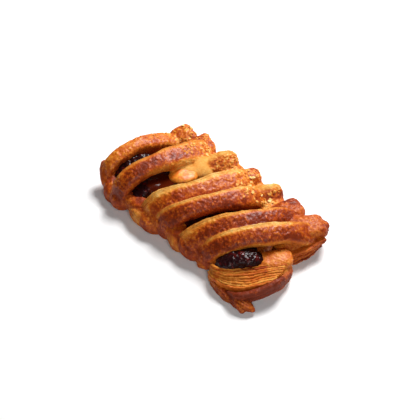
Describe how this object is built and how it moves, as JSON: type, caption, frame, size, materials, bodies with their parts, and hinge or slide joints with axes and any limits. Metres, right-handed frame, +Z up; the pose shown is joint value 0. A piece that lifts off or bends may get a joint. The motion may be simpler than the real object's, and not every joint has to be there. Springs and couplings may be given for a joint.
{
  "type": "danish pastry",
  "caption": "Long lattice danish pastry with arched browned strips over a dark cherry filling, a spot of custard and a layered cut end.",
  "frame": {"origin": "on the resting plane, under the middle of the pastry's bounding box", "axes": "+X along the pastry towards its layered cut end, +Y across it towards the edge with the separate lobes, +Z up"},
  "size_m": [0.1435, 0.0819, 0.0281],
  "materials": {
    "crust": "browned flaky crust, satin where the glaze lies",
    "cherry": "glossy, dark",
    "custard": "satin, baked skin"
  },
  "bodies": {
    "root": {"pastry": "crust", "cherry_filling": "cherry", "custard": "custard"}
  },
  "joints": []
}
